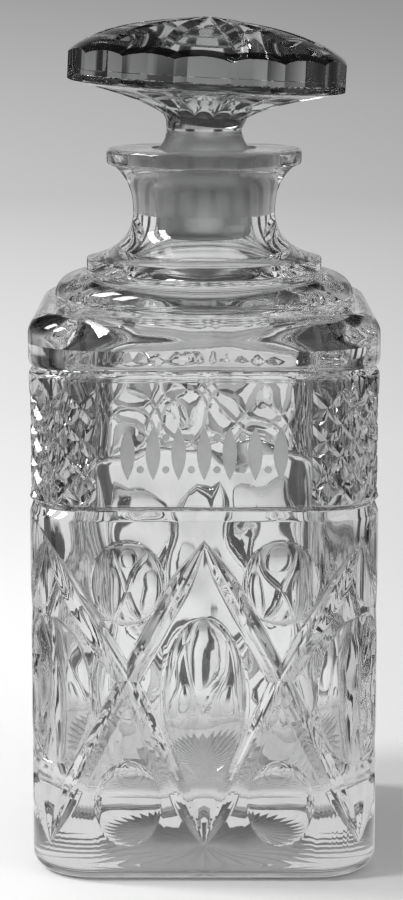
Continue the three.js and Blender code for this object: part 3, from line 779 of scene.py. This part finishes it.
def boolean(target, other, operation):
    """Joins or cuts target with other, and removes other."""
    modifier = target.modifiers.new("boolean", "BOOLEAN")
    modifier.object = other
    modifier.operation = operation
    modifier.solver = "MANIFOLD"
    evaluated = target.evaluated_get(bpy.context.evaluated_depsgraph_get())
    made = bpy.data.meshes.new_from_object(evaluated)
    if len(made.polygons) < 4:
        raise RuntimeError(f"{operation} of {target.name} with {other.name} left nothing")
    target.modifiers.clear()
    target.data = made
    bpy.data.objects.remove(other)


def triangulated(target):
    made = bmesh.new()
    made.from_mesh(target.data)
    bmesh.ops.triangulate(made, faces=made.faces, quad_method="FIXED")
    made.to_mesh(target.data)
    made.free()
    return target


def polished(target, name):
    """Smooth shading between sharp edges, and the piece's own name."""
    target.name = target.data.name = name
    target.data.polygons.foreach_set("use_smooth", [True] * len(target.data.polygons))
    target.data.set_sharp_from_angle(angle=SHARP_ANGLE)
    return target


def make_bottle():
    """The blank as one skin, outside and inside, less everything that is cut into it."""
    body = loft("bottle_glass", body_rings() + neck_rings() + hollow_rings(), (0, 0, 0), (0, 0, FLOOR))
    cutters = [mitre_cutter(True), mitre_cutter(False), *lens_cutters(), lattice_cutter()]
    cutters += [panel_cutter(), frost_cutter(), star_cutter()]
    for cutter in cutters:
        boolean(body, cutter, "DIFFERENCE")
    return polished(body, "bottle_glass")


def flute_share(angle):
    """1 in the middle of a flute and 0 where two meet, at an angle in degrees."""
    step = 360 / FLUTES
    place = ((angle - FLUTE_TURN) % step) / step
    return 1 - (2 * place - 1) ** 2


def turned_ring(radius, height, steps, inward=0, upward=0):
    """A circle that the flutes may press inwards or upwards."""
    ring = []
    for k in range(steps):
        angle = FLUTE_TURN + 360 * k / steps
        share = flute_share(angle)
        turn = math.radians(angle - 90)
        reach = radius - inward * share
        ring.append((reach * math.cos(turn), reach * math.sin(turn), height + upward * share))
    return ring


def plug():
    """The ground plug with the bore's taper, and the waist over it."""
    bottom = PLUG_TOP - PLUG_LENGTH
    low_radius = bore_radius(bottom + PLUG_EDGE) - SEAT_GAP
    top_radius = bore_radius(PLUG_TOP) - SEAT_GAP
    waist = (STOPPER_NECK, STOPPER_WAIST)
    neck_end = (STOPPER_NECK + 0.2, COLLAR_HEIGHT - 1)
    outline = [
        *arc(low_radius - PLUG_EDGE, bottom + PLUG_EDGE, PLUG_EDGE, -90, 0, 8),
        (top_radius, PLUG_TOP),
        *bend((top_radius, PLUG_TOP), (STOPPER_NECK, PLUG_TOP + 3), waist, COVE_STEPS),
        neck_end,
    ]
    rings = [turned_ring(radius, height, PLUG_STEPS) for radius, height in outline]
    return loft("plug", rings, (0, 0, bottom), (0, 0, neck_end[1]))


def dome_height(radius):
    """The height of the domed top at a radius, with the low peak in its middle."""
    low_top = HEAD_TOP - PEAK_HEIGHT
    dome = DOME_CENTRE + (low_top - DOME_CENTRE) * math.sqrt(max(0, 1 - (radius / DOME_RADIUS) ** 2))
    return dome + PEAK_HEIGHT * max(0, 1 - radius / PEAK_RADIUS)


def head_blank():
    """The mushroom head before its rim is trimmed: collar, fluted underside, bevel and domed top."""
    steps = FLUTES * FLUTE_STEPS
    collar = (COLLAR_RADIUS, COLLAR_HEIGHT)
    under = bend(collar, (COLLAR_RADIUS + 5, COLLAR_HEIGHT + 4), (BEVEL_RADIUS, BEVEL_BOTTOM), COVE_STEPS)
    rings = [turned_ring(STOPPER_NECK, STOPPER_WAIST + 0.6, steps), turned_ring(*collar, steps)]
    for i, (radius, height) in enumerate(under, 1):
        depth = UNDER_FLUTE * min(1, i / 4, (len(under) - i) / 4)
        rings.append(turned_ring(radius, height, steps, 0, depth))
    bevel_end = (HEAD_RADIUS + 0.2, BEVEL_TOP)
    bevel = bend((BEVEL_RADIUS, BEVEL_BOTTOM), (HEAD_RADIUS - 0.2, BEVEL_BOTTOM + 0.3), bevel_end, 6)
    rings += [turned_ring(radius, height, steps) for radius, height in bevel]
    rings.append(turned_ring(DOME_RADIUS - 0.5, FLUTE_BOTTOM, steps))
    angles = [mix(10, 76, i / DOME_RINGS) for i in range(DOME_RINGS + 1)]
    radii = [DOME_RADIUS * math.cos(math.radians(angle)) for angle in angles]
    radii += [PEAK_RADIUS, PEAK_RADIUS * 0.6, PEAK_RADIUS * 0.25]
    for radius in sorted(radii, reverse=True):
        rings.append(turned_ring(radius, dome_height(radius), steps))
    return loft("stopper_glass", rings, (0, 0, STOPPER_WAIST + 0.6), (0, 0, dome_height(0)))


def rim_trimmer():
    """A column with flat facets below and deeper hollow flutes above them."""
    low, high = COLLAR_HEIGHT - 10, HEAD_TOP + 10
    steps = FLUTES * FLUTE_STEPS
    rings = [
        turned_ring(HEAD_RADIUS, low, steps, BAND_DEPTH),
        turned_ring(HEAD_RADIUS, FLUTE_BOTTOM - 0.2, steps, BAND_DEPTH),
        turned_ring(HEAD_RADIUS, FLUTE_BOTTOM, steps, FLUTE_DEPTH),
        turned_ring(HEAD_RADIUS, high, steps, FLUTE_DEPTH),
    ]
    return loft("rim_trimmer", rings, (0, 0, low), (0, 0, high))


def top_ray_cutter(turn):
    """One V cut that follows the domed top, pointed at both ends."""
    angle = math.radians(turn - 90)
    points = []
    for i in range(TOP_RAY_STEPS + 1):
        reach = mix(TOP_RAY_START, TOP_RAY_END, i / TOP_RAY_STEPS)
        outer_size = TOP_RAY_TIP + (TOP_RAY_END - reach) / TOP_RAY_OUTER_TAPER
        size = min(1, reach / TOP_RAY_INNER_TAPER, outer_size)
        depth = TOP_RAY_DEPTH * size
        valley = dome_height(reach) - depth
        high = valley + depth + TOP_RAY_LIFT
        spread = TOP_RAY_HALF * size * (1 + TOP_RAY_LIFT / depth)
        for across, height in ((0, valley), (spread, high), (-spread, high)):
            points.append((*turned(reach, across, angle), height))
    last = 3 * TOP_RAY_STEPS
    faces = [(0, 2, 1), (last, last + 1, last + 2)]
    for here in range(0, last, 3):
        faces += band_faces(here, here + 3, 3)
    return make_object("top_ray_cutter", points, faces)


def make_stopper():
    """The head, trimmed, cut and leant a little, on its upright plug."""
    head = head_blank()
    boolean(head, rim_trimmer(), "INTERSECT")
    for ray in range(TOP_RAYS):
        boolean(head, top_ray_cutter(TOP_RAY_TURN + 360 * ray / TOP_RAYS), "DIFFERENCE")
    pivot = Matrix.Translation((0, 0, LEAN_PIVOT * MM))
    lean = Matrix.Rotation(math.radians(HEAD_LEAN), 4, "Y")
    head.data.transform(pivot @ lean @ pivot.inverted())
    boolean(head, plug(), "UNION")
    return polished(head, "stopper_glass")


def new_material(name):
    """An empty node material, its node tree and its output."""
    material = bpy.data.materials.new(name)
    material.use_nodes = True
    tree = material.node_tree
    tree.nodes.clear()
    return material, tree, tree.nodes.new("ShaderNodeOutputMaterial")


def feed(tree, socket, value):
    """Gives a socket a number or a colour, or links it to another socket."""
    if isinstance(value, (int, float, tuple)):
        socket.default_value = value
    else:
        tree.links.new(value, socket)


def math_node(tree, operation, first, second=0):
    """A Math node of one or two values, each a number or a socket."""
    node = tree.nodes.new("ShaderNodeMath")
    node.operation = operation
    feed(tree, node.inputs[0], first)
    feed(tree, node.inputs[1], second)
    return node.outputs[0]


def product(tree, first, *others):
    for other in others:
        first = math_node(tree, "MULTIPLY", first, other)
    return first


def mixed(tree, kind, share, first, second, blend="MIX"):
    """A Mix node of two numbers (FLOAT) or two colours (RGBA), each a value or a socket."""
    node = tree.nodes.new("ShaderNodeMix")
    node.data_type = kind
    node.blend_type = blend
    for name, value in (("A", first), ("B", second), ("Factor", share)):
        feed(tree, node.inputs[name], value)
    return node.outputs["Result"]


def map_range(tree, value, low, high, to_low=0, to_high=1, smooth=True):
    node = tree.nodes.new("ShaderNodeMapRange")
    node.interpolation_type = "SMOOTHSTEP" if smooth else "LINEAR"
    for name, number in (("From Min", low), ("From Max", high), ("To Min", to_low), ("To Max", to_high)):
        node.inputs[name].default_value = number
    tree.links.new(value, node.inputs["Value"])
    return node.outputs["Result"]


def tone_ramp(tree, value, tones):
    """A grey tone that goes through (value, tone) stops."""
    low, high = tones[0][0], tones[-1][0]
    ramp = tree.nodes.new("ShaderNodeValToRGB")
    elements = ramp.color_ramp.elements
    while len(elements) < len(tones):
        elements.new(0.5)
    for element, (stop, tone) in zip(elements, tones):
        element.position = (stop - low) / (high - low)
        element.color = (tone, tone, tone, 1)
    tree.links.new(map_range(tree, value, low, high, smooth=False), ramp.inputs["Fac"])
    return ramp.outputs["Color"]


def object_position(tree):
    """The place on the piece in its own frame, in metres, as three numbers and whole."""
    whole = tree.nodes.new("ShaderNodeTexCoord").outputs["Object"]
    split = tree.nodes.new("ShaderNodeSeparateXYZ")
    tree.links.new(whole, split.inputs[0])
    return {"whole": whole, **{axis: split.outputs[axis] for axis in "XYZ"}}


def noise(tree, place, scale, detail):
    node = tree.nodes.new("ShaderNodeTexNoise")
    node.inputs["Scale"].default_value = scale
    node.inputs["Detail"].default_value = detail
    tree.links.new(place["whole"], node.inputs["Vector"])
    return node.outputs["Fac"]


def noise_range(tree, place, scale, detail, low, high, to_low, to_high):
    """A noise whose values from low to high are spread over another range."""
    return map_range(tree, noise(tree, place, scale, detail), low, high, to_low, to_high)


def noise_tint(tree, place, scale, detail, dark, pale):
    """A colour that drifts between two with a noise."""
    tint = tree.nodes.new("ShaderNodeValToRGB")
    for element, colour in zip(tint.color_ramp.elements, (dark, pale)):
        element.color = colour
    tree.links.new(noise(tree, place, scale, detail), tint.inputs["Fac"])
    return tint.outputs["Color"]


def between_heights(tree, height, low, high, edge):
    """1 between two heights and 0 outside them, with a soft edge."""
    above = map_range(tree, height, (low - edge) * MM, low * MM)
    below = map_range(tree, height, high * MM, (high + edge) * MM, 1, 0)
    return product(tree, above, below)


def distance_from_axis(tree, place):
    squares = [product(tree, place[axis], place[axis]) for axis in "XY"]
    return math_node(tree, "SQRT", math_node(tree, "ADD", *squares))


def glass_shader(tree, output, transmission):
    """A glass surface that lets the given share of the light through."""
    shader = tree.nodes.new("ShaderNodeBsdfPrincipled")
    shader.inputs["Transmission Weight"].default_value = transmission
    shader.inputs["IOR"].default_value = IOR
    tree.links.new(shader.outputs[0], output.inputs["Surface"])
    return shader


def flute_cut(tree, own):
    """How far the rim's flutes cut in at a place's angle, by the same curve as flute_share."""
    turn = math_node(tree, "ARCTAN2", own["Y"], own["X"])
    turn = math_node(tree, "ADD", turn, math.radians(90 - FLUTE_TURN))
    along = math_node(tree, "FRACT", product(tree, turn, FLUTES / (2 * math.pi)))
    from_middle = product(tree, math_node(tree, "SUBTRACT", along, 0.5), 2)
    share = math_node(tree, "SUBTRACT", 1, product(tree, from_middle, from_middle))
    return product(tree, share, FLUTE_DEPTH * MM)


def head_rim(tree, place):
    """1 on a ring of the stopper's dome that follows the flutes' scallops, where shade is painted, and 0
    elsewhere.
    """
    over_pivot = math_node(tree, "SUBTRACT", place["Z"], LEAN_PIVOT * MM)
    lean = product(tree, over_pivot, math.tan(math.radians(HEAD_LEAN)))
    own = {"X": math_node(tree, "SUBTRACT", place["X"], lean), "Y": place["Y"]}
    reach = math_node(tree, "ADD", distance_from_axis(tree, own), flute_cut(tree, own))
    outer = HEAD_RADIUS - RIM_EDGE
    inner = outer - RIM_WIDTH
    past_inner = map_range(tree, reach, inner * MM, (inner + RIM_FADE) * MM)
    inside = math_node(tree, "LESS_THAN", reach, outer * MM)
    on_dome = math_node(tree, "GREATER_THAN", place["Z"], RIM_BOTTOM * MM)
    return product(tree, past_inner, inside, on_dome)


def glass_shade(tree, place):
    """How far painted shade takes the glass to black, in the lattice, to the left and right and on the
    head's rim.
    """
    sideways = math_node(tree, "ABSOLUTE", place["X"])
    beside = math_node(tree, "GREATER_THAN", sideways, LATTICE_START * MM)
    in_band = between_heights(tree, place["Z"], BAND_BOTTOM, PANEL_TOP, BAND_EDGE)
    lattice = product(tree, beside, in_band, LATTICE_SHADE)
    rim = product(tree, head_rim(tree, place), RIM_SHADE)
    start, end = SIDE_SHADE_REACH
    side = map_range(tree, sideways, start * MM, end * MM, 0, SIDE_SHADE)
    side = product(tree, side, between_heights(tree, place["Z"], *SIDE_SHADE_ZONE))
    return math_node(tree, "MAXIMUM", math_node(tree, "MAXIMUM", lattice, rim), side)


def glass_roughness(tree, place, ground):
    """Nearly smooth glass, worn under the foot, and matt in the ground zone round the axis."""
    low, high, radius = ground
    within = math_node(tree, "LESS_THAN", distance_from_axis(tree, place), radius * MM)
    matt = product(tree, within, between_heights(tree, place["Z"], low, high, GROUND_EDGE))
    haze = noise_range(tree, place, **HAZE)
    grit = noise_range(tree, place, **GRIT)
    worn = map_range(tree, place["Z"], WORN_LOW * MM, WORN_HIGH * MM, FOOT_ROUGHNESS, 0)
    return mixed(tree, "FLOAT", matt, math_node(tree, "MAXIMUM", haze, worn), grit)


def glass_relief(tree, place, hammered):
    """The height of the surface: faint waves, and small dents in the hammered zones."""
    relief = noise(tree, place, **SURFACE_WAVES)
    for low, high in hammered:
        zone = between_heights(tree, place["Z"], low, high, HAMMERED_EDGE)
        dents = product(tree, noise(tree, place, **DENTS), DENT_SHARE)
        relief = math_node(tree, "ADD", relief, product(tree, zone, dents))
    return relief


def glass_material(name, ground, tones, hammered, waviness):
    """Clear polished glass, with its ground zone, painted shade as grey tones by height, and hammered
    zones.
    """
    material, tree, output = new_material(name)
    place = object_position(tree)
    shader = glass_shader(tree, output, 1)
    tree.links.new(glass_roughness(tree, place, ground), shader.inputs["Roughness"])
    # The grey tones by height are painted shade in the glass's colour
    grey = tone_ramp(tree, place["Z"], [(height * MM, tone) for height, tone in tones])
    colour = mixed(tree, "RGBA", 1, noise_tint(tree, place, **GLASS_TINT), grey, "MULTIPLY")
    # The painted shade mixes the glass's colour towards black
    shaded = mixed(tree, "RGBA", glass_shade(tree, place), colour, PAINTED_SHADE_BLACK)
    tree.links.new(shaded, shader.inputs["Base Color"])
    bump = tree.nodes.new("ShaderNodeBump")
    bump.inputs["Distance"].default_value = SURFACE_RELIEF * MM
    bump.inputs["Strength"].default_value = waviness
    tree.links.new(glass_relief(tree, place, hammered), bump.inputs["Height"])
    tree.links.new(bump.outputs["Normal"], shader.inputs["Normal"])
    return material


def deepen(material, density):
    """Makes long ways through the glass darker."""
    tree = material.node_tree
    depth = tree.nodes.new("ShaderNodeVolumeAbsorption")
    depth.inputs["Color"].default_value = DEPTH_COLOUR
    depth.inputs["Density"].default_value = density
    tree.links.new(depth.outputs[0], tree.nodes["Material Output"].inputs["Volume"])


def frost_material():
    """The matt surface of the wheel cut ornament."""
    material, tree, output = new_material("frosted_ornament")
    place = object_position(tree)
    shader = glass_shader(tree, output, FROST_TRANSMISSION)
    tree.links.new(noise_range(tree, place, **FROST_GRIT), shader.inputs["Roughness"])
    tree.links.new(noise_tint(tree, place, **FROST_TINT), shader.inputs["Base Color"])
    return material


def frost_faces(bottle):
    """Gives the sunk faces of the ornament the matt surface."""
    bottle.data.materials.append(frost_material())
    deep = (-BODY_HALF + PANEL_RECESS + FROST_DEPTH / 2) * MM
    high = (-BODY_HALF + PANEL_RECESS + 2 * FROST_DEPTH) * MM
    for face in bottle.data.polygons:
        centre = face.center
        on_panel = abs(centre.x) < PANEL_HALF * MM
        in_row = abs(centre.z - ORNAMENT_HEIGHT * MM) < OLIVE_HALF_HEIGHT * MM
        if deep < centre.y < high and face.normal.y < -0.9 and on_panel and in_row:
            face.material_index = 1


def make_stage():
    """The round floor, the curve at its edge and the wall, as one skin round the middle."""
    outline = [(STAGE_HOLE, 0.0)]
    outline += [(FLOOR_RADIUS * i / SWEEP_STEPS, 0.0) for i in range(1, SWEEP_STEPS + 1)]
    for i in range(1, SWEEP_STEPS + 1):
        angle = math.radians(90 * i / SWEEP_STEPS)
        radius = FLOOR_RADIUS + SWEEP_RADIUS * math.sin(angle)
        outline.append((radius, SWEEP_RADIUS * (1 - math.cos(angle))))
    outline.append((FLOOR_RADIUS + SWEEP_RADIUS, WALL_HEIGHT))
    points = []
    for radius, height in outline:
        for k in range(WALL_SEGMENTS):
            angle = 2 * math.pi * k / WALL_SEGMENTS
            points.append((radius * math.cos(angle) / MM, radius * math.sin(angle) / MM, height / MM))
    faces = []
    for row in range(len(outline) - 1):
        for k in range(WALL_SEGMENTS):
            following = (k + 1) % WALL_SEGMENTS
            low, high = row * WALL_SEGMENTS, (row + 1) * WALL_SEGMENTS
            faces.append((low + k, high + k, high + following, low + following))
    stage = make_object("stage", points, faces)
    stage.data.polygons.foreach_set("use_smooth", [True] * len(faces))
    stage.data.materials.append(stage_material())


def ray_kinds(tree):
    """1 for camera rays, and 1 for the rays that a reflection or the glass sends on."""
    path = tree.nodes.new("ShaderNodeLightPath").outputs
    in_glass = math_node(tree, "MAXIMUM", path["Is Glossy Ray"], path["Is Transmission Ray"])
    return path["Is Camera Ray"], in_glass


def stage_gaps(tree, turn, height):
    """Painted light and shade: bright and dark spokes round the object, broader higher up, like windows
    round a room.
    """
    high_gap = tone_ramp(tree, math_node(tree, "PINGPONG", turn, HIGH_GAP), HIGH_GAP_TONES)
    low_gap = tone_ramp(tree, math_node(tree, "PINGPONG", turn, LOW_GAP), LOW_GAP_TONES)
    return mixed(tree, "RGBA", map_range(tree, height, *GAP_CHANGE), low_gap, high_gap)


def stage_height_tone(tree, turn, height):
    """Painted light and shade: the wall goes dark above, but behind the object it first goes bright."""
    off_back = math_node(tree, "ABSOLUTE", math_node(tree, "SUBTRACT", turn, math.pi / 2))
    at_back = map_range(tree, off_back, BACK_ANGLE, BACK_ANGLE + BACK_EDGE, 1, 0)
    elsewhere, behind = (tone_ramp(tree, height, tones) for tones in (DARK_TONES, BACK_TONES))
    return mixed(tree, "RGBA", at_back, elsewhere, behind)


def stage_contact_shade(tree, place):
    """Painted shadow: the floor under the foot and close round it is a little darker."""
    sides = [math_node(tree, "ABSOLUTE", place[axis]) for axis in "XY"]
    return tone_ramp(tree, math_node(tree, "MAXIMUM", *sides), SHADE_TONES)


def stage_material():
    """Pale paper with painted shade, darker with distance. The glass also sees a painted dark top, spokes
    and a painted contact shadow.
    """
    material, tree, output = new_material("paper")
    place = object_position(tree)
    radius = distance_from_axis(tree, place)
    turn = math_node(tree, "ARCTAN2", place["Y"], place["X"])
    from_camera, in_glass = ray_kinds(tree)
    on_wall = math_node(tree, "GREATER_THAN", radius, FLOOR_RADIUS)
    floor_tone = tone_ramp(tree, radius, FLOOR_TONES)
    tone = mixed(tree, "RGBA", on_wall, floor_tone, tone_ramp(tree, place["Z"], WALL_TONES))
    far_in_glass = product(tree, in_glass, map_range(tree, radius, *GAP_START))
    seen = mixed(tree, "RGBA", in_glass, tone, stage_height_tone(tree, turn, place["Z"]), "MULTIPLY")
    seen = mixed(tree, "RGBA", far_in_glass, seen, stage_gaps(tree, turn, place["Z"]), "MULTIPLY")
    # Painted shadow round the foot, for glass and reflections
    seen = mixed(tree, "RGBA", in_glass, seen, stage_contact_shade(tree, place), "MULTIPLY")
    diffuse = tree.nodes.new("ShaderNodeBsdfDiffuse")
    # Painted light and shade: the floor's colour is lighter at the left and darker at the right
    painted_side_light = tone_ramp(tree, place["X"], PAINTED_SIDE_LIGHT_TONES)
    tree.links.new(mixed(tree, "RGBA", 1, tone, painted_side_light, "MULTIPLY"), diffuse.inputs["Color"])
    glow = tree.nodes.new("ShaderNodeEmission")
    # Painted light: the glow is stronger at the left and weaker at the right
    slant = math_node(tree, "DIVIDE", place["X"], math_node(tree, "ADD", radius, GLOW_MEETING))
    side = map_range(tree, slant, -SIDE_SLANT, SIDE_SLANT, *PAINTED_SIDE_GLOW, smooth=False)
    tree.links.new(seen, glow.inputs["Color"])
    tree.links.new(side, glow.inputs["Strength"])
    behind = product(tree, map_range(tree, radius, *BACKDROP_START), from_camera)
    blend = tree.nodes.new("ShaderNodeMixShader")
    # Glass and reflections see only the glow, painted light that stands in for the lit floor; the camera
    # sees it only farther off
    tree.links.new(math_node(tree, "MAXIMUM", in_glass, behind), blend.inputs["Fac"])
    tree.links.new(diffuse.outputs[0], blend.inputs[1])
    tree.links.new(glow.outputs[0], blend.inputs[2])
    tree.links.new(blend.outputs[0], output.inputs["Surface"])
    return material


def area_lamp(name, location, target, width, height, power):
    data = bpy.data.lights.new(name, "AREA")
    data.shape = "RECTANGLE"
    data.size = width
    data.size_y = height
    data.energy = power
    lamp = add_object(name, data)
    lamp.location = location
    lamp.rotation_euler = (Vector(target) - Vector(location)).to_track_quat("-Z", "Y").to_euler()
    lamp.visible_camera = False


def make_lights():
    for name, y in PANES:
        area_lamp(name, (PANE_X, y, PANE_Z), (0, y / 2, PANE_AIM), PANE_WIDTH, PANE_HEIGHT, PANE_POWER)
    area_lamp("fill_lamp", FILL_PLACE, FILL_TARGET, FILL_SIZE, FILL_SIZE, FILL_POWER)


def make_world():
    world = bpy.data.worlds.new("studio")
    bpy.context.scene.world = world
    world.use_nodes = True
    tree = world.node_tree
    _, in_glass = ray_kinds(tree)
    tone = mixed(tree, "RGBA", in_glass, WORLD_TONE, WORLD_TONE_IN_GLASS)
    tree.links.new(tone, tree.nodes["Background"].inputs["Color"])


def make_camera():
    data = bpy.data.cameras.new("camera")
    data.sensor_width = 36
    data.lens = CAMERA_LENS
    data.clip_start = 0.05
    camera = add_object("camera", data)
    camera.location = (CAMERA_X, CAMERA_Y, CAMERA_Z)
    camera.rotation_euler = (math.radians(90 - CAMERA_PITCH), 0, 0)
    bpy.context.scene.camera = camera


def dress(piece, material, body):
    """Gives a piece its material, and lets it ride on its body in place of the plain solid."""
    piece.data.materials.clear()
    piece.data.materials.append(material)
    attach(piece, body)
    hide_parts(body)


make_camera()
make_stage()
make_lights()
make_world()

bottle = make_bottle()
bottle_glass = glass_material("bottle_glass", BORE_ZONE, BOTTLE_SHADE_TONES, BOTTLE_HAMMERED, BOTTLE_WAVINESS)
dress(bottle, bottle_glass, "bottle")
frost_faces(bottle)
stopper = make_stopper()
stopper_glass = glass_material("stopper_glass", PLUG_ZONE, STOPPER_SHADE_TONES, (), STOPPER_WAVINESS)
deepen(stopper_glass, STOPPER_DENSITY)
dress(stopper, stopper_glass, "stopper")

# Light crosses many glass surfaces here
scene = bpy.context.scene
scene.view_settings.view_transform = "Standard"
scene.cycles.sample_clamp_indirect = 4
scene.cycles.max_bounces = 32
scene.cycles.transmission_bounces = 28
scene.cycles.glossy_bounces = 16
